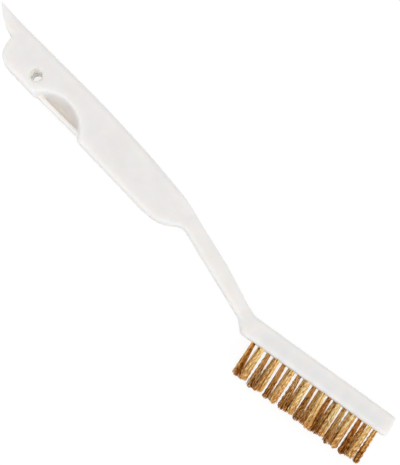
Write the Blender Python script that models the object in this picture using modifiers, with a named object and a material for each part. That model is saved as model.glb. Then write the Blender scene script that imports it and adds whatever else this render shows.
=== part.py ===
"""Wire scrub brush, lying on its side: a one-piece moulded handle with a scraper beak, a hanging
hole, a finger scoop on each side and a thin neck, and a head with three rows of brass wire tufts.
Each tuft is folded over a flat metal anchor at the bottom of its own blind hole.

The handle's axis runs along X from the tail to the head, the bristles point along -Y, and Z is
across the handle. The scene's origin is under the middle of the brush, on the surface it lies on."""

import math
import random

import bmesh
import bpy
from mathutils import Matrix, Vector

MM = 0.001

# The whole moulding
HANDLE_DEPTH = 13.0 * MM  # across the grip and the head, which lie on the same surface
SPINE_EDGE = 1.8 * MM  # radii of the long edges
GRIP_EDGE = 1.1 * MM
HEAD_EDGE = 1.4 * MM  # also the neck's
BEAK_EDGE = 0.15 * MM  # at its tip
EDGE_STEPS = 3

# Grip: x = 0 at the tail face, y = 0 on the grip's axis
GRIP_LENGTH = 88.0 * MM  # tail face to the root of the neck
SPINE_HEIGHT = 7.95 * MM  # the straight back, above the axis
SPINE_STRAIGHT = 36.0 * MM
CREST_FROM_NECK = 9.0 * MM  # the back bends down to the neck here
CREST_FALL = 2.65 * MM  # below the straight back
CREST_ANGLE = math.radians(-6.5)
SPINE_LEAVES = math.radians(-1.5)  # the angle at which the back leaves its straight
BELLY_TAIL = 6.1 * MM  # the lower edge, below the axis
BELLY_BULB = 7.9 * MM
BULB_LENGTH = 17.0 * MM  # the round end of the belly, in front of the neck
BULB_FLANK = (0.29, 0.66)  # the turn up to the neck, as shares of the bulb's length and depth
FLANK_ANGLE = math.radians(36.0)
TAIL_ROUND = 5.6 * MM
SHOULDER_FROM_NECK = 6.6 * MM  # the grip's sides start to slope in to the neck here
SHOULDER_LENGTH = 5.2 * MM

# Scraper beak behind the tail face
BEAK_LENGTH = 10.8 * MM
BEAK_ROOT = 5.3 * MM  # its height where it leaves the grip
BEAK_RISE = 0.5 * MM  # its tip stands this far above the back
BEAK_TIP = 0.4 * MM
NOTCH_RADIUS = 0.7 * MM

# Hanging hole
HANG_DIAMETER = 3.9 * MM
HANG_FROM_TAIL = 15.4 * MM
HANG_BELOW_AXIS = 1.3 * MM
HANG_CHAMFER = 0.4 * MM

# Finger scoops, one on each side, with a thin web between them that ends in a lip
SCOOP_FROM_TAIL = 29.6 * MM
SCOOP_RADIUS = 12.9 * MM
SCOOP_BELOW_SPINE = 8.0 * MM  # top of the arch, below the straight back
SCOOP_BLEND = 2.2 * MM  # radius between the scoop's wall and its floor
SCOOP_DRAFT = 0.5 * MM
SCOOP_CHAMFER = 0.5 * MM
WEB_THICKNESS = 2.2 * MM
LIP_HEIGHT = 1.5 * MM
LIP_DEPTH = 6.0 * MM
LIP_BELOW_AXIS = 5.95 * MM
LIP_FULLNESS = 0.46  # the radius of its edges, as a share of its height
GAP_MARGIN = 0.5 * MM  # what is left of the web at each end of the gap under the lip
GAP_FLARE = math.radians(38.0)  # the gap's ends slope out to the belly

# Neck, from the grip to the head
NECK_LENGTH = 37.0 * MM
NECK_ANGLE = math.radians(-14.6)
NECK_ABOVE_AXIS = 0.6 * MM  # the middle of its root
NECK_HEIGHT_ROOT = 5.7 * MM
NECK_HEIGHT_HEAD = 4.9 * MM
NECK_BOW = 0.55 * MM  # the back bows out by this much
NECK_FOOT = 0.06  # the lower side turns into the bulb at this share of the neck's length
NECK_DEPTH = 9.2 * MM

# Head
HEAD_ANGLE = math.radians(9.1)
HEAD_HEIGHT = 7.5 * MM
HEEL_LENGTH = 4.93 * MM  # from the end of the neck to the head's lower corner
HEEL_ANGLE = math.radians(-37.5)
HEAD_RAKE = 0.9 * MM  # the end face leans back by this much
FLARE_LENGTH = 6.0 * MM  # the neck widens to the head over this length
FLARE_BEFORE_HEEL = 0.8  # this share of it lies before the head's lower corner
CORNER_ROUND = 2.2 * MM  # between the neck's back and the head's
FIRST_TUFT = 5.35 * MM  # lower corner to the first hole
LAST_TUFT = 3.1 * MM  # last hole to the end of the head

# Tufts, anchors and their holes
TUFT_PITCH = 6.5 * MM
MIDDLE_TUFTS = 9
ROW_SPACING = 3.9 * MM
TUFT_LENGTH = 13.2 * MM
TUFT_DIAMETER = 1.85 * MM
TUFT_SPLAY = 0.18  # how much wider a tuft is at its tips than at its root
STRAND_TAPER = 0.72
STRAND_LEVELS = 3
STRAND_LEAN = 0.05 * MM
CRIMP = 0.09 * MM
UNEVEN = 0.06  # the shortest strand is this share shorter than the longest
TUFT_VARIANTS = 5
HOLE_DEPTH = 5.0 * MM
HOLE_SIDES = 12
ROOT_ABOVE_FACE = 0.1 * MM
FOLD_THICKNESS = 0.6 * MM  # wire folded under the anchor
ANCHOR_LENGTH = 3.0 * MM
ANCHOR_THICKNESS = 0.35 * MM
ANCHOR_HEIGHT = 1.5 * MM
ANCHOR_CORNER = 0.2 * MM
CLEARANCE = 0.3 * MM

PAST = 1.5 * MM  # how far a cutter runs past what it cuts
TURN_STEPS = 72


def clear_scene():
    for obj in list(bpy.data.objects):
        bpy.data.objects.remove(obj, do_unlink=True)


def new_collection(name):
    collection = bpy.data.collections.new(name)
    bpy.context.scene.collection.children.link(collection)
    return collection


def new_material(name, colour, roughness, metallic):
    material = bpy.data.materials.new(name)
    material.use_nodes = True
    shader = material.node_tree.nodes["Principled BSDF"]
    shader.inputs["Base Color"].default_value = (*colour, 1.0)
    shader.inputs["Roughness"].default_value = roughness
    shader.inputs["Metallic"].default_value = metallic
    material.diffuse_color = (*colour, 1.0)
    return material


def mesh_from(bm, name, smooth_angle=35.0):
    """A mesh of this bmesh, smooth but for its sharp edges."""
    bmesh.ops.recalc_face_normals(bm, faces=bm.faces)
    mesh = bpy.data.meshes.new(name)
    bm.to_mesh(mesh)
    bm.free()
    mesh.shade_smooth()
    mesh.set_sharp_from_angle(angle=math.radians(smooth_angle))
    return mesh


def add_part(name, mesh, material, matrix=None):
    part = bpy.data.objects.new(name, mesh)
    PARTS.objects.link(part)
    part.parent = BRUSH
    if matrix is not None:
        part.matrix_basis = matrix
    if not mesh.materials:
        mesh.materials.append(material)
    return part


def add_tool(name, mesh, matrix=None):
    """A solid that only shapes the handle."""
    tool = bpy.data.objects.new(name, mesh)
    TOOLS.objects.link(tool)
    tool.parent = BRUSH
    if matrix is not None:
        tool.matrix_basis = matrix
    tool.hide_render = True
    tool.display_type = "WIRE"
    return tool


def combine(part, tool, operation):
    modifier = part.modifiers.new(tool.name, "BOOLEAN")
    modifier.object = tool
    modifier.operation = operation
    modifier.solver = "EXACT"


def bezier(start, first, second, end, steps):
    """Points along a cubic curve, without its last one."""
    points = []
    for i in range(steps):
        t = i / steps
        s = 1 - t
        weights = (s**3, 3 * s * s * t, 3 * s * t * t, t**3)
        places = (start, first, second, end)
        points.append(tuple(sum(w * p[k] for w, p in zip(weights, places)) for k in (0, 1)))
    return points


def towards(point, angle, distance):
    return (point[0] + distance * math.cos(angle), point[1] + distance * math.sin(angle))


def eased(start, start_angle, end, end_angle, steps, first=0.36, last=0.36):
    """A curve that leaves and arrives at these angles, without its last point."""
    reach = math.dist(start, end)
    one = towards(start, start_angle, first * reach)
    two = towards(end, end_angle, -last * reach)
    return bezier(start, one, two, end, steps)


def round_edges(bm, edges, radius, segments=3):
    bmesh.ops.bevel(
        bm,
        geom=edges,
        offset=radius,
        offset_type="OFFSET",
        segments=segments,
        profile=0.5,
        affect="EDGES",
        clamp_overlap=False,
    )


def turned(name, profile, place):
    """A closed turned solid on an axis along Z: its profile runs down the outer side."""
    mesh = bpy.data.meshes.new(name)
    edges = [(i, i + 1) for i in range(len(profile) - 1)]
    mesh.from_pydata([(r, 0, z) for r, z in profile], edges, [])
    tool = add_tool(name, mesh, Matrix.Translation(place))
    screw = tool.modifiers.new("turn", "SCREW")
    screw.steps = screw.render_steps = TURN_STEPS
    screw.use_merge_vertices = True
    screw.merge_threshold = 0.00001
    return tool


def head_length():
    return FIRST_TUFT + (MIDDLE_TUFTS - 1) * TUFT_PITCH + LAST_TUFT


def neck_point(share, height):
    """A point of the neck: a share of its length from the grip, and a height above its middle."""
    middle = towards((GRIP_LENGTH, NECK_ABOVE_AXIS), NECK_ANGLE, share * NECK_LENGTH)
    return towards(middle, NECK_ANGLE + math.pi / 2, height)


def head_place():
    """The head's frame: x along the bristle face from its lower corner, y up to its back."""
    corner = towards(neck_point(1.0, -NECK_HEIGHT_HEAD / 2), HEEL_ANGLE, HEEL_LENGTH)
    return Matrix.Translation((*corner, 0)) @ Matrix.Rotation(HEAD_ANGLE, 4, "Z")


def head_point(along, height):
    return tuple((head_place() @ Vector((along, height, 0))).xy)


def crossing(first, first_angle, second, second_angle):
    """Where the lines through two points at two angles meet."""
    across = math.sin(first_angle - second_angle)
    dx, dy = second[0] - first[0], second[1] - first[1]
    reach = (dy * math.cos(second_angle) - dx * math.sin(second_angle)) / across
    return towards(first, first_angle, reach)


def back_outline():
    """From the beak's tip along the spine and the neck to the end of the head."""
    spine = SPINE_HEIGHT
    tip = (-BEAK_LENGTH, spine + BEAK_RISE)
    sweep = ((-0.7 * BEAK_LENGTH, spine + 0.3 * BEAK_RISE), (-0.3 * BEAK_LENGTH, spine))
    straight = (SPINE_STRAIGHT, spine)
    crest = (GRIP_LENGTH - CREST_FROM_NECK, spine - CREST_FALL)
    neck_root, neck_end = neck_point(0, NECK_HEIGHT_ROOT / 2), neck_point(1, NECK_HEIGHT_HEAD / 2)
    neck_middle = neck_point(0.5, (NECK_HEIGHT_ROOT + NECK_HEIGHT_HEAD) / 4 + NECK_BOW)
    meeting = crossing(neck_end, NECK_ANGLE, head_point(0, HEAD_HEIGHT), HEAD_ANGLE)
    before = towards(meeting, NECK_ANGLE, -CORNER_ROUND)
    after = towards(meeting, HEAD_ANGLE, CORNER_ROUND)
    return [
        *bezier(tip, *sweep, (0, spine), 4),
        (0, spine),
        *eased(straight, SPINE_LEAVES, crest, CREST_ANGLE, 6),
        *eased(crest, CREST_ANGLE, neck_root, NECK_ANGLE, 5),
        *eased(neck_root, NECK_ANGLE, neck_middle, NECK_ANGLE, 4),
        *eased(neck_middle, NECK_ANGLE, before, NECK_ANGLE, 4),
        *bezier(before, meeting, meeting, after, 4),
        after,
        head_point(head_length() - HEAD_RAKE, HEAD_HEIGHT),
    ]


def belly_outline():
    """From the end of the head back along the heel, the neck and the belly to the beak's tip."""
    spine, root, back = SPINE_HEIGHT, SPINE_HEIGHT - BEAK_ROOT, math.pi
    neck_end = neck_point(1, -NECK_HEIGHT_HEAD / 2)
    neck_foot = neck_point(NECK_FOOT, -NECK_HEIGHT_ROOT / 2)
    flank = (GRIP_LENGTH - BULB_FLANK[0] * BULB_LENGTH, -BULB_FLANK[1] * BELLY_BULB)
    bulb = (GRIP_LENGTH - BULB_LENGTH, -BELLY_BULB)
    tail_low, tail_top = (TAIL_ROUND, -BELLY_TAIL), (0, root - NOTCH_RADIUS)
    tail_sweep = ((0.28 * TAIL_ROUND, -BELLY_TAIL), (0.03 * TAIL_ROUND, -0.3 * BELLY_TAIL))
    notch = (-NOTCH_RADIUS, root)
    notch_sweep = ((0, root - 0.3 * NOTCH_RADIUS), (-0.3 * NOTCH_RADIUS, root))
    tip_low = (-BEAK_LENGTH + 0.1 * BEAK_TIP, spine + BEAK_RISE - BEAK_TIP)
    beak_sweep = ((-0.42 * BEAK_LENGTH, root), (-0.76 * BEAK_LENGTH, spine - 0.4 * BEAK_ROOT))
    return [
        head_point(head_length(), 0),
        head_point(0, 0),
        *eased(neck_end, NECK_ANGLE + back, neck_foot, NECK_ANGLE + back, 4),
        *eased(neck_foot, NECK_ANGLE + back, flank, FLANK_ANGLE + back, 7, 0.5, 0.32),
        *eased(flank, FLANK_ANGLE + back, bulb, back, 8, 0.3, 0.5),
        bulb,
        tail_low,
        *bezier(tail_low, *tail_sweep, tail_top, 9)[1:],
        *bezier(tail_top, *notch_sweep, notch, 3),
        *bezier(notch, *beak_sweep, tip_low, 6),
        tip_low,
    ]


def depth_at(x):
    """How deep the moulding is across, at this distance from the tail."""
    heel = head_point(0, 0)[0]
    shoulder = GRIP_LENGTH - SHOULDER_FROM_NECK
    in_to_neck = min(1.0, max(0.0, (x - shoulder) / SHOULDER_LENGTH))
    out_to_head = min(1.0, max(0.0, (x - heel) / FLARE_LENGTH + FLARE_BEFORE_HEEL))
    return HANDLE_DEPTH - (in_to_neck - out_to_head) * (HANDLE_DEPTH - NECK_DEPTH)


def edge_radius(x, y):
    """The radius of the long edge at this place. The beak's edges stay crisp towards its tip."""
    if x > GRIP_LENGTH:
        return HEAD_EDGE
    full = SPINE_EDGE if y > SPINE_HEIGHT - BEAK_ROOT / 2 else GRIP_EDGE
    share = min(1.0, 1 + x / BEAK_LENGTH)
    return BEAK_EDGE + share * (full - BEAK_EDGE)


def inward(before, here, after):
    """How far a corner of a clockwise outline moves in for each unit that its two sides do."""
    normals = []
    for start, end in ((before, here), (here, after)):
        length = math.dist(start, end)
        normals.append(Vector(((end[1] - start[1]) / length, (start[0] - end[0]) / length)))
    return (normals[0] + normals[1]) / (1 + normals[0].dot(normals[1]))


def rounded_slab(outline, depth):
    """A clockwise outline made solid across its depth: rings of points that turn over its edges."""
    count = len(outline)
    turns = [i / EDGE_STEPS * math.pi / 2 for i in range(EDGE_STEPS + 1)]
    bm = bmesh.new()
    rings = []
    for side, angles in ((-1, reversed(turns)), (1, turns)):
        for turn in angles:
            ring = []
            for i, (x, y) in enumerate(outline):
                radius = edge_radius(x, y)
                inset = inward(outline[i - 1], (x, y), outline[(i + 1) % count])
                inset *= radius * (1 - math.cos(turn))
                height = depth / 2 - radius * (1 - math.sin(turn))
                ring.append(bm.verts.new((x + inset.x, y + inset.y, side * height)))
            rings.append(ring)
    for lower, upper in zip(rings, rings[1:]):
        for i in range(count):
            j = (i + 1) % count
            bm.faces.new((lower[i], lower[j], upper[j], upper[i]))
    bm.faces.new(rings[0])
    bm.faces.new(rings[-1])
    return bm


def add_handle(plastic):
    """The side outline as a rounded slab, thinned at the neck."""
    bm = rounded_slab([*back_outline(), *belly_outline()], HANDLE_DEPTH)
    shoulder, heel = GRIP_LENGTH - SHOULDER_FROM_NECK, head_point(0, 0)[0]
    flare = heel - FLARE_BEFORE_HEEL * FLARE_LENGTH
    for x in (shoulder, shoulder + SHOULDER_LENGTH, flare, flare + FLARE_LENGTH):
        cut = [*bm.verts, *bm.edges, *bm.faces]
        bmesh.ops.bisect_plane(bm, geom=cut, plane_co=(x, 0, 0), plane_no=(1, 0, 0))
    for vert in bm.verts:
        vert.co.z *= depth_at(vert.co.x) / HANDLE_DEPTH
    mesh = mesh_from(bm, "handle")
    for side in mesh.polygons:
        side.use_smooth = abs(side.normal.z) < 0.999
    return add_part("handle", mesh, plastic)


def scoop_profile():
    """The scoop's half section: the mouth's chamfer, the drafted wall, the blend and the floor."""
    mouth, floor = HANDLE_DEPTH / 2, WEB_THICKNESS / 2
    wall_foot = SCOOP_RADIUS - SCOOP_DRAFT
    profile = [
        (0.0, mouth + PAST),
        (SCOOP_RADIUS + SCOOP_CHAMFER + PAST, mouth + PAST),
        (SCOOP_RADIUS, mouth - SCOOP_CHAMFER),
    ]
    for i in range(5):
        a = i / 4 * math.pi / 2
        blend = (math.cos(a) - 1, 1 - math.sin(a))
        profile.append((wall_foot + SCOOP_BLEND * blend[0], floor + SCOOP_BLEND * blend[1]))
    profile.append((0.0, floor))
    return profile


def add_scoops(handle):
    """A scoop in each side and the gap under their web, cut round the lip that ends the web."""
    top = SPINE_HEIGHT - SCOOP_BELOW_SPINE
    centre = Vector((SCOOP_FROM_TAIL, top - SCOOP_RADIUS, 0))
    scoops = turned("finger_scoops", scoop_profile(), centre)
    far = turned("far_scoop", [(r, -z) for r, z in reversed(scoop_profile())], centre)
    combine(scoops, far, "UNION")

    lip_middle = LIP_HEIGHT / 2 - LIP_BELOW_AXIS
    wall = SCOOP_RADIUS - SCOOP_DRAFT
    half_chord = math.sqrt(wall**2 - (lip_middle - centre.y) ** 2)
    gap_low = -BELLY_BULB - PAST
    flare = (lip_middle - gap_low) * math.tan(GAP_FLARE)
    bm = bmesh.new()
    bmesh.ops.create_cube(bm, size=1.0)
    for vert in bm.verts:
        side, below = math.copysign(1, vert.co.x), vert.co.y < 0
        vert.co.x = SCOOP_FROM_TAIL + side * (half_chord - GAP_MARGIN + below * flare)
        vert.co.y = gap_low if below else lip_middle
        vert.co.z *= LIP_DEPTH + GAP_MARGIN
    combine(scoops, add_tool("gap_under_web", mesh_from(bm, "gap_under_web")), "UNION")

    bm = bmesh.new()
    bmesh.ops.create_cube(bm, size=1.0)
    size = (2 * (half_chord + PAST), LIP_HEIGHT, LIP_DEPTH)
    bmesh.ops.scale(bm, vec=size, verts=bm.verts)
    long_edges = [e for e in bm.edges if abs(e.verts[0].co.x - e.verts[1].co.x) > half_chord]
    round_edges(bm, long_edges, LIP_FULLNESS * LIP_HEIGHT)
    bmesh.ops.translate(bm, vec=(SCOOP_FROM_TAIL, lip_middle, 0), verts=bm.verts)
    combine(scoops, add_tool("lip", mesh_from(bm, "lip")), "DIFFERENCE")
    combine(handle, scoops, "DIFFERENCE")


def add_hanging_hole(handle):
    radius, mouth = HANG_DIAMETER / 2, HANDLE_DEPTH / 2
    side = [(radius + HANG_CHAMFER + PAST, mouth + PAST), (radius, mouth - HANG_CHAMFER)]
    mirrored = [(r, -z) for r, z in reversed(side)]
    profile = [(0.0, mouth + PAST), *side, *mirrored, (0.0, -mouth - PAST)]
    place = Vector((HANG_FROM_TAIL, -HANG_BELOW_AXIS, 0))
    combine(handle, turned("hanging_hole", profile, place), "DIFFERENCE")


def tuft_places():
    """The name and place of each tuft: z points out of the bristle face, y across the head."""
    upright = Matrix.Rotation(math.pi / 2, 4, "X")
    rows = (("near", 1, 0.5), ("middle", 0, 0.0), ("far", -1, 0.5))
    for row, side, shift in rows:
        for i in range(MIDDLE_TUFTS - (shift > 0)):
            along = FIRST_TUFT + (i + shift) * TUFT_PITCH
            spot = Matrix.Translation((along, 0, side * ROW_SPACING))
            yield f"{row}_{i + 1}", head_place() @ spot @ upright


def anchor_levels():
    """Bottom and top of an anchor, measured from the bristle face."""
    bottom = -HOLE_DEPTH + 2 * CLEARANCE + FOLD_THICKNESS
    return bottom, bottom + ANCHOR_HEIGHT


def box(bm, size, low, high):
    """A box centred on the z axis between two levels."""
    made = bmesh.ops.create_cube(bm, size=1.0)["verts"]
    bmesh.ops.scale(bm, vec=(*size, high - low), verts=made)
    bmesh.ops.translate(bm, vec=(0, 0, (low + high) / 2), verts=made)
    return made


def anchor_slot_mesh(length, name):
    """The room that an anchor needs, with its clearance all round."""
    low, high = anchor_levels()
    bm = bmesh.new()
    size = (length, ANCHOR_THICKNESS + 2 * CLEARANCE)
    box(bm, size, low - CLEARANCE, high + CLEARANCE)
    return mesh_from(bm, name)


def evaluated_mesh(obj):
    graph = bpy.context.evaluated_depsgraph_get()
    return bpy.data.meshes.new_from_object(obj.evaluated_get(graph))


def joined_by_boolean(name, first, second, operation):
    """One mesh from two, whose helper objects are then removed."""
    base, other = add_tool(name, first), add_tool(name + "_other", second)
    combine(base, other, operation)
    bpy.context.view_layer.update()
    mesh = evaluated_mesh(base)
    for obj in (base, other):
        bpy.data.objects.remove(obj)
    return mesh


def add_tuft_holes(handle):
    """Blind holes with the side slots that their anchors bite into."""
    radius = TUFT_DIAMETER / 2 + CLEARANCE
    bm = bmesh.new()
    bmesh.ops.create_cone(
        bm,
        cap_ends=True,
        segments=HOLE_SIDES,
        radius1=radius,
        radius2=radius,
        depth=HOLE_DEPTH + PAST,
        matrix=Matrix.Translation((0, 0, (PAST - HOLE_DEPTH) / 2)),
    )
    round_hole = mesh_from(bm, "round_hole")
    slot = anchor_slot_mesh(ANCHOR_LENGTH + 2 * CLEARANCE, "slot")
    hole = joined_by_boolean("hole", round_hole, slot, "UNION")
    bm = bmesh.new()
    for _, place in tuft_places():
        before = len(bm.verts)
        bm.from_mesh(hole)
        bm.verts.ensure_lookup_table()
        bmesh.ops.transform(bm, matrix=place, verts=bm.verts[before:])
    combine(handle, add_tool("tuft_holes", mesh_from(bm, "tuft_holes")), "DIFFERENCE")


def strand_roots(bm):
    """Every second triangle of the root's end, which is divided into a triangular grid."""
    end = max(bm.faces, key=lambda face: face.calc_center_median().z)
    fan = bmesh.ops.poke(bm, faces=[end])["faces"]
    edges = list({edge for face in fan for edge in face.edges})
    bmesh.ops.subdivide_edges(bm, edges=edges, cuts=1, use_grid_fill=True)
    level = max(vert.co.z for vert in bm.verts)
    roots = []
    for face in bm.faces:
        centre = face.calc_center_median()
        if centre.z < level - ROOT_ABOVE_FACE / 2:
            continue
        if sum(vert.co.x > centre.x for vert in face.verts) == 1:
            roots.append(face)
    return roots


def bundle_mesh(seed):
    """A tuft: its folded root, and crimped strands that splay a little and end unevenly."""
    chance = random.Random(seed)
    low, high = -HOLE_DEPTH + CLEARANCE, ROOT_ABOVE_FACE
    bm = bmesh.new()
    bmesh.ops.create_cone(
        bm,
        cap_ends=True,
        segments=6,
        radius1=TUFT_DIAMETER / 2,
        radius2=TUFT_DIAMETER / 2,
        depth=high - low,
        matrix=Matrix.Translation((0, 0, (low + high) / 2)),
    )
    faces = strand_roots(bm)
    wave = Vector((math.cos(seed), math.sin(seed), 0)) * CRIMP
    strands = []
    for face in faces:
        centre = face.calc_center_median()
        reach = TUFT_LENGTH * (1 - chance.uniform(0, UNEVEN))
        lean = Vector((chance.uniform(-1, 1), chance.uniform(-1, 1), 0)) * STRAND_LEAN
        strands.append((centre, reach, lean))
    for level in range(1, STRAND_LEVELS + 1):
        t = level / STRAND_LEVELS
        size = STRAND_TAPER if level == 1 else 1.0
        faces = bmesh.ops.extrude_discrete_faces(bm, faces=faces)["faces"]
        for face, (centre, reach, lean) in zip(faces, strands):
            target = centre * (1 + TUFT_SPLAY * t) + lean * t + wave * (-1) ** level
            target.z = reach * t
            middle = face.calc_center_median()
            for vert in face.verts:
                vert.co = target + (vert.co - middle) * size
    return mesh_from(bm, f"tuft_{seed}", smooth_angle=20.0)


def add_tufts(brass):
    """Each tuft has a window through its root, where the wires fold round the anchor."""
    window_length = TUFT_DIAMETER + 2 * PAST
    meshes = []
    for seed in range(TUFT_VARIANTS):
        window = anchor_slot_mesh(window_length, "window")
        meshes.append(joined_by_boolean("tuft", bundle_mesh(seed), window, "DIFFERENCE"))
    for i, (name, place) in enumerate(tuft_places()):
        add_part("tuft_" + name, meshes[i % TUFT_VARIANTS], brass, place)


def add_anchors(steel):
    """Flat wire cut to length, its corners dulled, across the bottom of each hole."""
    bm = bmesh.new()
    box(bm, (ANCHOR_LENGTH, ANCHOR_THICKNESS), *anchor_levels())
    ends = [e for e in bm.edges if abs(e.verts[0].co.y - e.verts[1].co.y) > 0.5 * ANCHOR_THICKNESS]
    round_edges(bm, ends, ANCHOR_CORNER, segments=1)
    mesh = mesh_from(bm, "anchor")
    for name, place in tuft_places():
        add_part("anchor_" + name, mesh, steel, place)


def stand_on_floor():
    """Puts the origin under the middle of the brush, at the height of its lowest point."""
    bpy.context.view_layer.update()
    graph = bpy.context.evaluated_depsgraph_get()
    low, high = Vector((1e9,) * 3), Vector((-1e9,) * 3)
    for part in BRUSH.children:
        if part.hide_render:
            continue
        evaluated = part.evaluated_get(graph)
        for corner in evaluated.to_mesh().vertices:
            point = evaluated.matrix_world @ corner.co
            low = Vector(map(min, low, point))
            high = Vector(map(max, high, point))
        evaluated.to_mesh_clear()
    BRUSH.location = (-(low.x + high.x) / 2, -(low.y + high.y) / 2, -low.z)


clear_scene()
PARTS = new_collection("scrub_brush")
TOOLS = new_collection("cutters")
TOOLS.hide_render = True
BRUSH = bpy.data.objects.new("brush", None)
PARTS.objects.link(BRUSH)

white_plastic = new_material("white_plastic", (0.80, 0.78, 0.76), 0.45, 0.0)
brass_wire = new_material("brass_wire", (0.60, 0.38, 0.13), 0.35, 1.0)
anchor_steel = new_material("anchor_steel", (0.55, 0.56, 0.58), 0.4, 1.0)

scrub_handle = add_handle(white_plastic)
add_scoops(scrub_handle)
add_hanging_hole(scrub_handle)
add_tuft_holes(scrub_handle)
add_tufts(brass_wire)
add_anchors(anchor_steel)
stand_on_floor()
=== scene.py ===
"""A small wire scrub brush on a white table: off-white moulded handle, crimped brass wire tufts."""

import math
import random

import bpy
from mathutils import Matrix, Vector


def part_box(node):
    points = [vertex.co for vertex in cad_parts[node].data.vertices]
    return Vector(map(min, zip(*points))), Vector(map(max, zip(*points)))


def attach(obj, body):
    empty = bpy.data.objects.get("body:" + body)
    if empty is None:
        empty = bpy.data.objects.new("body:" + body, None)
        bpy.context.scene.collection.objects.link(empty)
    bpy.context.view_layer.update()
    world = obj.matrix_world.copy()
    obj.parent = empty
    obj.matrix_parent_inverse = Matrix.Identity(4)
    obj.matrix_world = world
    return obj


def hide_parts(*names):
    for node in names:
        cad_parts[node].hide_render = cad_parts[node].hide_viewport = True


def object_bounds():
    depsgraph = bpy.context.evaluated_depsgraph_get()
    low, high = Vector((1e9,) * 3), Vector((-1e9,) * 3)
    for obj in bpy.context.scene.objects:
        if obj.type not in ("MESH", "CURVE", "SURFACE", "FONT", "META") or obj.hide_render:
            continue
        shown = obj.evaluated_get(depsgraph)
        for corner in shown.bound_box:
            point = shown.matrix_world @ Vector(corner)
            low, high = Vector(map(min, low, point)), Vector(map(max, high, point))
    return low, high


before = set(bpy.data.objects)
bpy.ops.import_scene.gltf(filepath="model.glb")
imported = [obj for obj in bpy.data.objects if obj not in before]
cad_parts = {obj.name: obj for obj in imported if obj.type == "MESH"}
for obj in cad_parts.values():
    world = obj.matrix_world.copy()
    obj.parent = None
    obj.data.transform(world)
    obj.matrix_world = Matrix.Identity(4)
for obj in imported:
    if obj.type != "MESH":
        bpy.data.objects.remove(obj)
cad_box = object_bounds()
bpy.ops.object.select_all(action="DESELECT")


# Handle
# One injection moulding from the scraper beak to the head, in off-white polypropylene. The mould
# opens across the handle: every edge along it is softly rounded, and a fine line runs round its
# middle where the two halves met. The tufts stand in three rows of round holes.
MM = 0.001
BEAK_TIP = cad_box[0].x
BACK_EDGE = cad_box[1].y
MIDDLE = (cad_box[0].z + cad_box[1].z) / 2  # of the handle's depth, where the mould's halves met
FINEST = 0.33 * MM  # the mesh is even all over at this size, so that the moulded fillets come out
FILLET_PASSES = 5
FILLET_SHARE = 0.5  # of the way to its neighbours' mean, for each point in each pass
TOUCHING = 0.001 * MM  # points closer than this are one
CREASE_ANGLE = math.radians(40)
PARTING_LINE = 0.07 * MM  # how far it stands out
OFF_MIDDLE = 0.013 * MM  # keeps the parting line off the mesh's own middle row of points
STRAIGHT_ANGLE = math.radians(1.5)  # the parting line gets no point at a smaller bend
BRISTLE_LEAN = math.radians(9.1)  # the wires stand square to the head, which tips up at its end
OUTWARD = Vector((math.sin(BRISTLE_LEAN), -math.cos(BRISTLE_LEAN), 0))  # from the bristle face
STANDING = Matrix.Rotation(BRISTLE_LEAN, 4, "Z") @ Matrix.Rotation(math.pi / 2, 4, "X")  # z to it
ROWS = {"near": 8, "middle": 9, "far": 8}  # how many tufts each has
ANCHOR_DEPTH = 3.05 * MM  # from the bristle face to the middle of the anchor
CORE_DEPTH = 5.8 * MM  # a little deeper than the solid's holes
CORE_MARGIN = Vector((2.2, 1.2, 0)) * MM  # past the outermost holes' axes, along and across
SKIN = 0.05 * MM  # from the bristle face down to the core
HOLE_RADIUS = 1.0 * MM
HOLE_DEPTH = 4.0 * MM
HOLE_SIDES = 24
RIM_ROUND = 0.15 * MM
PEG_TOP = 1.0 * MM  # how far a cutting peg stands up past the hole's rim
PEG_LIFT = 0.01 * MM  # keeps the rim's flare off the bristle face, for a clean cut
PLASTIC_COLOUR = "EEECEB"
PLASTIC_SHADE = "EAE8E6"
PLASTIC_ROUGHNESS = (0.36, 0.48)
PLASTIC_IOR = 1.49
MOTTLE_MM = 9.0
MOTTLE_SPAN = (0.3, 0.62)  # of the noise, from all shade to all colour
SKIN_GRAIN_MM = 0.35
GRAIN_STRENGTH = 0.12
GRAIN_HEIGHT = 0.02 * MM
GLOW_TINT = (1.0, 0.85, 0.7)  # red light goes in further than blue
GLOW_DEPTH = (3.0 * MM, 30.0 * MM)  # how far light goes in: more in the bore, lit from all around
BORE = Vector((BEAK_TIP + 26.2 * MM, BACK_EDGE - 9.75 * MM, 0))  # the hanging hole's axis
BORE_REACH = (2.0 * MM, 2.6 * MM)
# painted light: the hanging hole's bore is coloured lighter and warmer than the rest of the handle
BORE_PAINTED_LIGHT = "FFF1E2"
BORE_ROUGHNESS = 0.05  # a polished core pin made it
SCOOP = Vector((BEAK_TIP + 40.4 * MM, BACK_EDGE - 21.4 * MM, 0))  # centre of its arch
SCOOP_REACH = (10.2 * MM, 12.4 * MM)
SCOOP_HEIGHT = (1.3 * MM, 2.4 * MM)  # of its floor on either side of the middle, where its shade is painted
# painted shade: the scoops' floor is coloured darker and warmer than the rest of the handle
SCOOP_PAINTED_SHADE = "E4DED6"


def linear(hex_colour):
    """The linear colour of an sRGB hex value."""
    channels = [int(hex_colour[i : i + 2], 16) / 255 for i in (0, 2, 4)]
    return [c / 12.92 if c <= 0.04045 else ((c + 0.055) / 1.055) ** 2.4 for c in channels] + [1.0]


def add_node(material, kind, settings=None, **links):
    """Adds a node. Settings are its properties, or inputs by name or number. Links give the sources
    of its inputs, by name, or by number after an underscore."""
    node = material.node_tree.nodes.new(kind)
    for key, value in (settings or {}).items():
        if isinstance(key, int) or key in node.inputs:
            node.inputs[key].default_value = value
        else:
            setattr(node, key, value)
    for key, source in links.items():
        socket = node.inputs[int(key[1:])] if key[1:].isdigit() else node.inputs[key.replace("_", " ")]
        material.node_tree.links.new(source, socket)
    return node


def new_material(name):
    """A new material of this name, and its shader."""
    material = bpy.data.materials.new(name)
    material.use_nodes = True
    return material, material.node_tree.nodes["Principled BSDF"]


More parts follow.
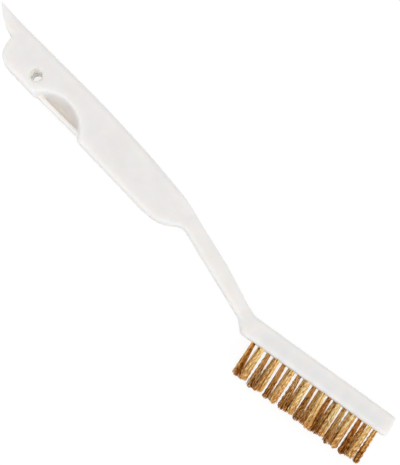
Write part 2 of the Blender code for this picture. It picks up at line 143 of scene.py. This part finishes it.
def around_axis(material, place, axis, near, far):
    """1 as near as this to an upright axis, and 0 as far as this from it."""
    flat = add_node(
        material,
        "ShaderNodeVectorMath",
        {"operation": "MULTIPLY", 1: (1.0, 1.0, 0.0)},
        _0=place,
    )
    away = add_node(
        material,
        "ShaderNodeVectorMath",
        {"operation": "DISTANCE", 1: axis},
        _0=flat.outputs[0],
    )
    return add_node(
        material,
        "ShaderNodeMapRange",
        {"From Min": near, "From Max": far, "To Min": 1.0, "To Max": 0.0},
        Value=away.outputs["Value"],
    ).outputs["Result"]


def moulded_polypropylene():
    """Satin and a little waxy: light goes a short way in, so hollows look warm. There are faint flow
    marks in its colour, and the fine grain of the mould. The scoops' floor is coloured darker and
    warmer, a painted shade, and the hanging hole's bore is smooth and coloured lighter and warmer, a
    painted light."""
    material, shader = new_material("moulded_polypropylene")
    links = material.node_tree.links
    place = add_node(material, "ShaderNodeTexCoord").outputs["Object"]
    flow = add_node(
        material,
        "ShaderNodeTexNoise",
        {"Scale": 1000 / MOTTLE_MM, "Detail": 3.0, "Roughness": 0.6},
        Vector=place,
    )
    mottle = add_node(material, "ShaderNodeValToRGB", Fac=flow.outputs["Fac"])
    stops = zip(mottle.color_ramp.elements, MOTTLE_SPAN, (PLASTIC_SHADE, PLASTIC_COLOUR))
    for stop, position, hex_colour in stops:
        stop.position, stop.color = position, linear(hex_colour)
    grain = add_node(
        material,
        "ShaderNodeTexNoise",
        {"Scale": 1000 / SKIN_GRAIN_MM, "Detail": 2.0},
        Vector=place,
    )
    bump = add_node(
        material,
        "ShaderNodeBump",
        {"Strength": GRAIN_STRENGTH, "Distance": GRAIN_HEIGHT},
        Height=grain.outputs["Fac"],
    )
    satin = add_node(
        material,
        "ShaderNodeMapRange",
        {"To Min": PLASTIC_ROUGHNESS[0], "To Max": PLASTIC_ROUGHNESS[1]},
        Value=grain.outputs["Fac"],
    )
    in_bore = around_axis(material, place, BORE, *BORE_REACH)
    height = add_node(material, "ShaderNodeSeparateXYZ", Vector=place).outputs["Z"]
    off_middle = add_node(
        material,
        "ShaderNodeMath",
        {"operation": "SUBTRACT", 1: MIDDLE},
        _0=height,
    )
    beside = add_node(
        material,
        "ShaderNodeMath",
        {"operation": "ABSOLUTE"},
        _0=off_middle.outputs[0],
    )
    low_down = add_node(
        material,
        "ShaderNodeMapRange",
        {"From Min": SCOOP_HEIGHT[0], "From Max": SCOOP_HEIGHT[1], "To Min": 1.0, "To Max": 0.0},
        Value=beside.outputs[0],
    )
    # painted shade: a darker, warmer colour on the floor of each scoop, near the handle's middle
    scoop_shade_mask = add_node(
        material,
        "ShaderNodeMath",
        {"operation": "MULTIPLY"},
        _0=around_axis(material, place, SCOOP, *SCOOP_REACH),
        _1=low_down.outputs["Result"],
    )
    scoop_painted_shade = add_node(
        material,
        "ShaderNodeMix",
        {"data_type": "RGBA", 7: linear(SCOOP_PAINTED_SHADE)},
        _0=scoop_shade_mask.outputs[0],
        _6=mottle.outputs["Color"],
    )
    # painted light: a lighter, warmer colour inside the hanging hole's bore
    colour = add_node(
        material,
        "ShaderNodeMix",
        {"data_type": "RGBA", 7: linear(BORE_PAINTED_LIGHT)},
        _0=in_bore,
        _6=scoop_painted_shade.outputs[2],
    )
    gloss = add_node(
        material,
        "ShaderNodeMapRange",
        {"To Max": BORE_ROUGHNESS},
        Value=in_bore,
        To_Min=satin.outputs["Result"],
    )
    glow = add_node(
        material,
        "ShaderNodeMapRange",
        {"To Min": GLOW_DEPTH[0], "To Max": GLOW_DEPTH[1]},
        Value=in_bore,
    )
    links.new(colour.outputs[2], shader.inputs["Base Color"])
    links.new(gloss.outputs["Result"], shader.inputs["Roughness"])
    links.new(bump.outputs["Normal"], shader.inputs["Normal"])
    links.new(glow.outputs["Result"], shader.inputs["Subsurface Scale"])
    shader.inputs["IOR"].default_value = PLASTIC_IOR
    shader.inputs["Subsurface Weight"].default_value = 1.0
    shader.inputs["Subsurface Radius"].default_value = GLOW_TINT
    return material


def tuft_spots():
    """The name and place of each tuft, where its hole opens in the bristle face."""
    for row, count in ROWS.items():
        for i in range(1, count + 1):
            low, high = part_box(f"anchor_{row}_{i}")
            yield f"{row}_{i}", (low + high) / 2 + OUTWARD * ANCHOR_DEPTH


def apply_all(piece):
    """Applies a piece's modifiers, in their order."""
    bpy.context.view_layer.objects.active = piece
    for modifier in list(piece.modifiers):
        bpy.ops.object.modifier_apply(modifier=modifier.name)


def head_core():
    """A block inside the head that closes the solid's plain tuft holes: round ones are cut later."""
    spots = [STANDING.inverted() @ place for _, place in tuft_spots()]
    low = Vector(min(spot[k] for spot in spots) for k in range(3)) - CORE_MARGIN
    high = Vector(max(spot[k] for spot in spots) for k in range(3)) + CORE_MARGIN
    low.z, high.z = high.z - CORE_MARGIN.z - CORE_DEPTH, high.z - CORE_MARGIN.z - SKIN
    bpy.ops.mesh.primitive_cube_add(size=1)
    core = bpy.context.object
    core.data.transform(Matrix.Diagonal((*(high - low), 1)))
    core.data.transform(STANDING @ Matrix.Translation((low + high) / 2))
    return core


def parting_line(moulding):
    """A thin bead where the mould's halves met, along the moulding's outline at half its depth."""
    line = bpy.data.objects.new("parting_line", moulding.data.copy())
    bpy.context.scene.collection.objects.link(line)
    moulding.select_set(False)
    line.select_set(True)
    bpy.context.view_layer.objects.active = line
    bpy.ops.object.mode_set(mode="EDIT")
    bpy.ops.mesh.select_all(action="SELECT")
    bpy.ops.mesh.bisect(
        plane_co=(0, 0, MIDDLE + OFF_MIDDLE),
        plane_no=(0, 0, 1),
        clear_inner=True,
        clear_outer=True,
        threshold=TOUCHING,
    )
    bpy.ops.mesh.select_all(action="SELECT")
    bpy.ops.mesh.dissolve_limited(angle_limit=STRAIGHT_ANGLE)
    bpy.ops.object.mode_set(mode="OBJECT")
    bpy.ops.object.convert(target="CURVE")
    line.data.bevel_depth = PARTING_LINE
    line.data.bevel_resolution = 1
    bpy.ops.object.convert(target="MESH")
    return line


def hole_cutters():
    """A peg for each tuft, flared to give its hole a rounded rim. All are in one object."""
    pegs = []
    for name, place in tuft_spots():
        bpy.ops.mesh.primitive_cylinder_add(
            vertices=HOLE_SIDES, radius=HOLE_RADIUS, depth=HOLE_DEPTH
        )
        peg = bpy.context.object
        peg.name = "peg_" + name
        bpy.ops.object.mode_set(mode="EDIT")
        bpy.ops.mesh.select_mode(type="FACE")
        bpy.ops.mesh.select_all(action="DESELECT")
        bpy.ops.object.mode_set(mode="OBJECT")
        for face in peg.data.polygons:
            face.select = face.normal.z > 0.9  # the top alone
        bpy.ops.object.mode_set(mode="EDIT")
        bpy.ops.mesh.extrude_region_move(TRANSFORM_OT_translate={"value": (0, 0, RIM_ROUND)})
        flare = 1 + RIM_ROUND / HOLE_RADIUS
        bpy.ops.transform.resize(value=(flare, flare, 1), center_override=(0, 0, 0))
        bpy.ops.mesh.extrude_region_move(TRANSFORM_OT_translate={"value": (0, 0, PEG_TOP)})
        bpy.ops.object.mode_set(mode="OBJECT")
        sunk = Matrix.Translation((0, 0, -HOLE_DEPTH / 2 - RIM_ROUND + PEG_LIFT))
        peg.data.transform(Matrix.Translation(place) @ STANDING @ sunk)
        peg.select_set(False)
        pegs.append(peg)
    for peg in pegs:
        peg.select_set(True)
    bpy.context.view_layer.objects.active = pegs[0]
    bpy.ops.object.join()
    pegs[0].select_set(False)
    return pegs[0]


def handle_moulding():
    """The CAD solid with its edges rounded, its tuft holes cut again as round ones, and the line
    that the mould leaves."""
    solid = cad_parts["handle"]
    piece = bpy.data.objects.new("handle_moulding", solid.data.copy())
    bpy.context.scene.collection.objects.link(piece)
    piece.data.materials.clear()
    piece.data.materials.append(moulded_polypropylene())
    core = head_core()
    piece.select_set(True)
    bpy.context.view_layer.objects.active = piece
    bpy.ops.object.mode_set(mode="EDIT")
    bpy.ops.mesh.select_all(action="SELECT")
    bpy.ops.mesh.remove_doubles(threshold=TOUCHING)
    bpy.ops.object.mode_set(mode="OBJECT")
    core.select_set(True)
    bpy.ops.object.join()
    remesh = piece.modifiers.new("even_mesh", "REMESH")
    remesh.mode = "VOXEL"
    remesh.voxel_size = FINEST
    fillets = piece.modifiers.new("fillets", "SMOOTH")
    fillets.factor = FILLET_SHARE
    fillets.iterations = FILLET_PASSES
    apply_all(piece)
    line = parting_line(piece)
    line.select_set(False)
    pegs = hole_cutters()
    piece.select_set(True)
    holes = piece.modifiers.new("tuft_holes", "BOOLEAN")
    holes.object = pegs
    holes.operation = "DIFFERENCE"
    holes.solver = "EXACT"
    apply_all(piece)
    bpy.data.objects.remove(pegs)
    line.select_set(True)
    bpy.context.view_layer.objects.active = piece
    bpy.ops.object.join()
    bpy.ops.object.shade_smooth_by_angle(angle=CREASE_ANGLE)
    piece.select_set(False)
    return piece


handle = handle_moulding()
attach(handle, "root")
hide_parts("handle")


# Wire tufts
# Crimped brass wire, about seventy strands to a hole. Each bunch is folded in two over a flat anchor,
# driven into its hole and trimmed. In use the tufts have spread, and each has bent over a little
# towards the end of the head.
WIRES = 72
WIRE_DIAMETER = 0.17 * MM
WIRE_LENGTH = 13.2 * MM
WIRE_START = 2.6 * MM  # below the bristle face
LONGEST = 1.02  # a tuft's longest wire, as a share of the tuft's length
TRIM = 0.07  # how uneven the tips of a tuft are, as a share of its length
TRIM_POWER = 1.5  # over 1, so that most tips are nearly level and few are short
ROUNDED = 0.06  # how much shorter the outermost wires are, as a share of the tuft's length
REACH = {  # each tuft's length, as a share of WIRE_LENGTH
    "near": (0.95, 0.96, 1.0, 0.97, 1.02, 0.97, 1.02, 0.98),
    "middle": (0.97, 1.01, 1.0, 1.0, 1.01, 1.01, 1.04, 1.03, 1.0),
    "far": (0.97, 0.99, 0.99, 0.98, 1.0, 1.0, 1.0, 0.99),
}
LEAN_MM = {  # how far its tips have bent over towards the end of the head
    "near": (0.2, 0.5, 0.0, 0.8, 1.4, 0.6, 0.0, 0.0),
    "middle": (1.1, 0.9, 0.9, 1.1, 0.8, 0.5, 0.7, 0.7, 0.3),
    "far": (0.5, 0.1, 0.6, 0.3, 1.0, 0.0, 0.3, 0.3),
}
SIDE_LEAN = 0.3 * MM  # at most, across the head, at random
ROOT_RADIUS = 0.76 * MM
SPREAD = (1.5, 2.05)  # at the tips, against the root
CRIMP_STEP = 1.05 * MM
CRIMP_DEPTH = 0.13 * MM
CRIMP_AT_FACE = 0.4  # as a share of the full depth, because the hole holds the wires straight
CRIMP_GROWTH = 4.0  # in shares of the depth for each WIRE_LENGTH
WAVE_POINTS = 3  # to each crimp step
STRAY = 0.3 * MM  # how far most tips stay from where their wire was heading, at the most
STRAY_DEVIATION = 0.5  # standard deviation, as a share of STRAY
# painted light and shade: bright, middling and dull copies of one brass, dealt out to the rows below
BRASS_TONES = {  # the light and the dark of each
    "bright": ("FFEFB8", "E2A24C"),
    "middling": ("FFD68A", "B4702A"),
    "dull": ("D28A3C", "70390C"),
}
TONE_AND_SHADE_SHARES = {"near": (7, 3, 1), "middle": (1, 3, 6), "far": (3, 3, 2)}  # of its wires; the middle row gets more dull ones and the near row more bright ones, a painted shade and light
TONE_SPAN = (0.3, 0.49)  # of the noise, from all dark to all light
TONE_PATCH_MM = 0.45
TONE_STRETCH = (1.0, 0.3, 1.0)  # the patches are longer along the wires
BRASS_ROUGHNESS = 0.28
FACE_LEVEL = next(tuft_spots())[1].dot(OUTWARD)
TARNISHED = 3.0 * MM  # from the bristle face, where the wire begins to brown towards its tips
TIP_TARNISH = 0.18


def drawn_brass(tone, light, dark):
    """Drawn and crimped wire: bright near the head, and browner towards the tips that do the work."""
    material, shader = new_material("drawn_brass_" + tone)
    place = add_node(material, "ShaderNodeTexCoord").outputs["Object"]
    upright = add_node(
        material,
        "ShaderNodeMapping",
        {"Rotation": (0.0, 0.0, -BRISTLE_LEAN), "Scale": TONE_STRETCH},
        Vector=place,
    )
    patches = add_node(
        material,
        "ShaderNodeTexNoise",
        {"Scale": 1000 / TONE_PATCH_MM, "Detail": 1.0},
        Vector=upright.outputs["Vector"],
    )
    outward = add_node(
        material,
        "ShaderNodeVectorMath",
        {"operation": "DOT_PRODUCT", 1: OUTWARD},
        _0=place,
    )
    tarnish = add_node(
        material,
        "ShaderNodeMapRange",
        {
            "From Min": FACE_LEVEL + TARNISHED,
            "From Max": FACE_LEVEL + WIRE_LENGTH,
            "To Max": -TIP_TARNISH,
        },
        Value=outward.outputs["Value"],
    )
    shade = add_node(
        material,
        "ShaderNodeMath",
        {"operation": "ADD"},
        _0=patches.outputs["Fac"],
        _1=tarnish.outputs["Result"],
    )
    colour = add_node(material, "ShaderNodeValToRGB", Fac=shade.outputs[0])
    stops = zip(colour.color_ramp.elements, TONE_SPAN, (dark, light))
    for stop, position, hex_colour in stops:
        stop.position, stop.color = position, linear(hex_colour)
    material.node_tree.links.new(colour.outputs["Color"], shader.inputs["Base Color"])
    shader.inputs["Metallic"].default_value = 1.0
    shader.inputs["Roughness"].default_value = BRASS_ROUGHNESS
    return material


def wire_line(chance, i, tuft_length, lean, spread):
    """One wire's points: z points out of the hole, and the crimps lie in one random plane."""
    radius = ROOT_RADIUS * math.sqrt((i + 0.5) / WIRES)
    around = i * math.pi * (3 - math.sqrt(5))
    root = Vector((radius * math.cos(around), radius * math.sin(around), 0))
    plane, phase = chance.uniform(0, 2 * math.pi), chance.uniform(0, 2 * math.pi)
    crimp = Vector((math.cos(plane), math.sin(plane), 0)) * CRIMP_DEPTH
    strays = chance.gauss(0, STRAY_DEVIATION), chance.gauss(0, STRAY_DEVIATION)
    stray = Vector((*strays, 0)) * STRAY
    length = tuft_length * (LONGEST - TRIM * chance.random() ** TRIM_POWER - ROUNDED * i / WIRES)
    steps = round((length + WIRE_START) / CRIMP_STEP * WAVE_POINTS)
    line = []
    for k in range(steps + 1):
        z = -WIRE_START + (length + WIRE_START) * k / steps
        t = max(0.0, z / WIRE_LENGTH)
        wave = math.sin(phase + k * math.pi / WAVE_POINTS) * min(1.0, CRIMP_AT_FACE + CRIMP_GROWTH * t)
        fanned = root * (1 + (spread - 1) * t)
        line.append(fanned + crimp * wave + stray * t * t + lean * t + Vector((0, 0, z)))
    return line


def wire_tuft(name, seed):
    """All the wires of one hole, as bevelled lines that are then made a mesh."""
    chance = random.Random(seed)
    row, number = name.split("_")[1:]
    tuft_length = WIRE_LENGTH * REACH[row][int(number) - 1]
    spread = chance.uniform(*SPREAD)
    lean = Vector((LEAN_MM[row][int(number) - 1] * MM, chance.uniform(-1, 1) * SIDE_LEAN, 0))
    curve = bpy.data.curves.new(name, "CURVE")
    curve.dimensions = "3D"
    curve.bevel_mode = "ROUND"
    curve.bevel_depth = WIRE_DIAMETER / 2
    curve.bevel_resolution = 0
    curve.use_fill_caps = True
    for brass in BRASSES:
        curve.materials.append(brass)
    for i in range(WIRES):
        line = wire_line(chance, i, tuft_length, lean, spread)
        spline = curve.splines.new("POLY")
        # painted shade and light: each wire's tone is drawn at random, weighted by its row
        spline.material_index = chance.choices(range(len(BRASS_TONES)), TONE_AND_SHADE_SHARES[row])[0]
        spline.points.add(len(line) - 1)
        for point, place in zip(spline.points, line):
            point.co = (*place, 1.0)
    piece = bpy.data.objects.new(name, curve)
    bpy.context.scene.collection.objects.link(piece)
    bpy.context.view_layer.objects.active = piece
    piece.select_set(True)
    bpy.ops.object.convert(target="MESH")
    piece.select_set(False)
    return piece


BRASSES = [drawn_brass(tone, *colours) for tone, colours in BRASS_TONES.items()]
for name, place in tuft_spots():
    tuft = wire_tuft("wires_" + name, name)
    tuft.data.transform(Matrix.Translation(place) @ STANDING)
    tuft.data.shade_smooth()
    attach(tuft, "root")
    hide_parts("tuft_" + name)


# Anchors
# Short lengths of flat steel wire. Each is driven in with its tuft and grips the sides of the hole
# at the bottom, out of sight.
STEEL_COLOUR = "B9BABD"
STEEL_ROUGHNESS = (0.3, 0.5)
DRAWING_LINE_MM = 0.08
DRAWING_STRETCH = (0.05, 1.0, 1.0)  # the lines run along the head, as the anchors do


def flat_drawn_steel():
    """Fine lines along the wire from the drawing die, grey and half bright."""
    material, shader = new_material("flat_drawn_steel")
    place = add_node(material, "ShaderNodeTexCoord").outputs["Object"]
    along = add_node(material, "ShaderNodeMapping", {"Scale": DRAWING_STRETCH}, Vector=place)
    lines = add_node(
        material,
        "ShaderNodeTexNoise",
        {"Scale": 1000 / DRAWING_LINE_MM, "Detail": 2.0},
        Vector=along.outputs["Vector"],
    )
    rough = add_node(
        material,
        "ShaderNodeMapRange",
        {"To Min": STEEL_ROUGHNESS[0], "To Max": STEEL_ROUGHNESS[1]},
        Value=lines.outputs["Fac"],
    )
    material.node_tree.links.new(rough.outputs["Result"], shader.inputs["Roughness"])
    shader.inputs["Base Color"].default_value = linear(STEEL_COLOUR)
    shader.inputs["Metallic"].default_value = 1.0
    return material


steel = flat_drawn_steel()
for name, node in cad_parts.items():
    if name.startswith("anchor_"):
        node.data.materials.clear()
        node.data.materials.append(steel)


# Table
# A matt white sheet that fills the view. It keeps the brush's soft shadow, and it is lifted to white
# for what the camera sees of it, straight or in a reflection.
TABLE_SIZE = 3.0
TABLE_DROP = 0.1 * MM  # below the brush, so that the two surfaces don't meet
TABLE_GREY = 0.95
TABLE_ROUGHNESS = 0.9
TABLE_SEEN_GREY = 0.2  # what the camera sees of it, before the lift
TABLE_LIFT = 0.84


def seen_ray(material):
    """1 for what the camera sees, straight or in a gloss or through a clear thing, and else 0."""
    path = add_node(material, "ShaderNodeLightPath")
    either = add_node(
        material,
        "ShaderNodeMath",
        {"operation": "MAXIMUM"},
        _0=path.outputs["Is Camera Ray"],
        _1=path.outputs["Is Glossy Ray"],
    )
    return add_node(
        material,
        "ShaderNodeMath",
        {"operation": "MAXIMUM"},
        _0=either.outputs[0],
        _1=path.outputs["Is Transmission Ray"],
    ).outputs[0]


def white_sheet():
    """Matt board with no gloss: white to the light that falls on the brush, and white to the eye."""
    material, shader = new_material("white_sheet")
    links = material.node_tree.links
    seen = seen_ray(material)
    grey = add_node(
        material,
        "ShaderNodeMapRange",
        {"To Min": TABLE_GREY, "To Max": TABLE_SEEN_GREY},
        Value=seen,
    )
    lift = add_node(material, "ShaderNodeMapRange", {"To Max": TABLE_LIFT}, Value=seen)
    links.new(grey.outputs["Result"], shader.inputs["Base Color"])
    links.new(lift.outputs["Result"], shader.inputs["Emission Strength"])
    shader.inputs["Emission Color"].default_value = (1.0, 1.0, 1.0, 1.0)
    shader.inputs["Roughness"].default_value = TABLE_ROUGHNESS
    shader.inputs["Specular IOR Level"].default_value = 0.0
    return material


bpy.ops.mesh.primitive_plane_add(size=TABLE_SIZE, location=(0, 0, -TABLE_DROP))
table = bpy.context.object
table.name = "table"
table.data.materials.append(white_sheet())
table.select_set(False)


# Light
# A white room, with soft lamps above the grip, past the end of the head and on the bristle side.
# The room is a little darker as a light than it is to the camera and in reflections.
ROOM_LEVEL = 0.725


def soft_lamp(name, place, size, power):
    """A square lamp, this many metres wide and this many watts strong, that faces the brush."""
    lamp = bpy.data.lights.new(name, "AREA")
    lamp.shape = "SQUARE"
    lamp.size = size
    lamp.energy = power
    holder = bpy.data.objects.new(name, lamp)
    bpy.context.scene.collection.objects.link(holder)
    holder.location = place
    holder.rotation_euler = (-Vector(place)).to_track_quat("-Z", "Y").to_euler()


soft_lamp("top_lamp", (-0.085, 0.02, 0.42), 0.22, 0.26)
soft_lamp("end_lamp", (0.65, -0.1, 0.28), 0.3, 0.9)
soft_lamp("side_lamp", (-0.15, -0.65, 0.22), 0.4, 0.65)

world = bpy.data.worlds.new("white_room")
world.use_nodes = True
room = world.node_tree.nodes["Background"]
room.inputs["Color"].default_value = (1.0, 1.0, 1.0, 1.0)
level = add_node(world, "ShaderNodeMapRange", {"To Min": ROOM_LEVEL}, Value=seen_ray(world))
world.node_tree.links.new(level.outputs["Result"], room.inputs["Strength"])
bpy.context.scene.world = world


# Camera
# Above the brush on its bristle side, with the handle running from the top left to the bottom right.
IMAGE_WIDTH = 400
MM_PER_PIXEL = 0.344  # in the brush's middle plane
SENSOR_MM = 36.0
CAMERA_HEIGHT = 395 * MM  # above that plane
FOOT = Vector((BEAK_TIP + 98.6 * MM, BACK_EDGE - 43.45 * MM, 0))  # the point below the camera
AIM = Vector((BEAK_TIP + 103.2 * MM, BACK_EDGE - 7.75 * MM, 0))  # the point in the picture's middle
LEVEL = Vector((1, 1, 0))  # the direction that runs from left to right in the picture

eye = FOOT + Vector((0, 0, MIDDLE + CAMERA_HEIGHT))
back = (eye - AIM - Vector((0, 0, MIDDLE))).normalized()
right = (LEVEL - back * back.dot(LEVEL)).normalized()
up = back.cross(right)
camera = bpy.data.objects.new("camera", bpy.data.cameras.new("camera"))
bpy.context.scene.collection.objects.link(camera)
camera.data.sensor_fit = "HORIZONTAL"
camera.data.sensor_width = SENSOR_MM
camera.data.lens = SENSOR_MM * CAMERA_HEIGHT / (IMAGE_WIDTH * MM_PER_PIXEL * MM)
camera.matrix_world = Matrix.Translation(eye) @ Matrix((right, up, back)).transposed().to_4x4()
bpy.context.scene.camera = camera
bpy.context.scene.view_settings.view_transform = "Standard"
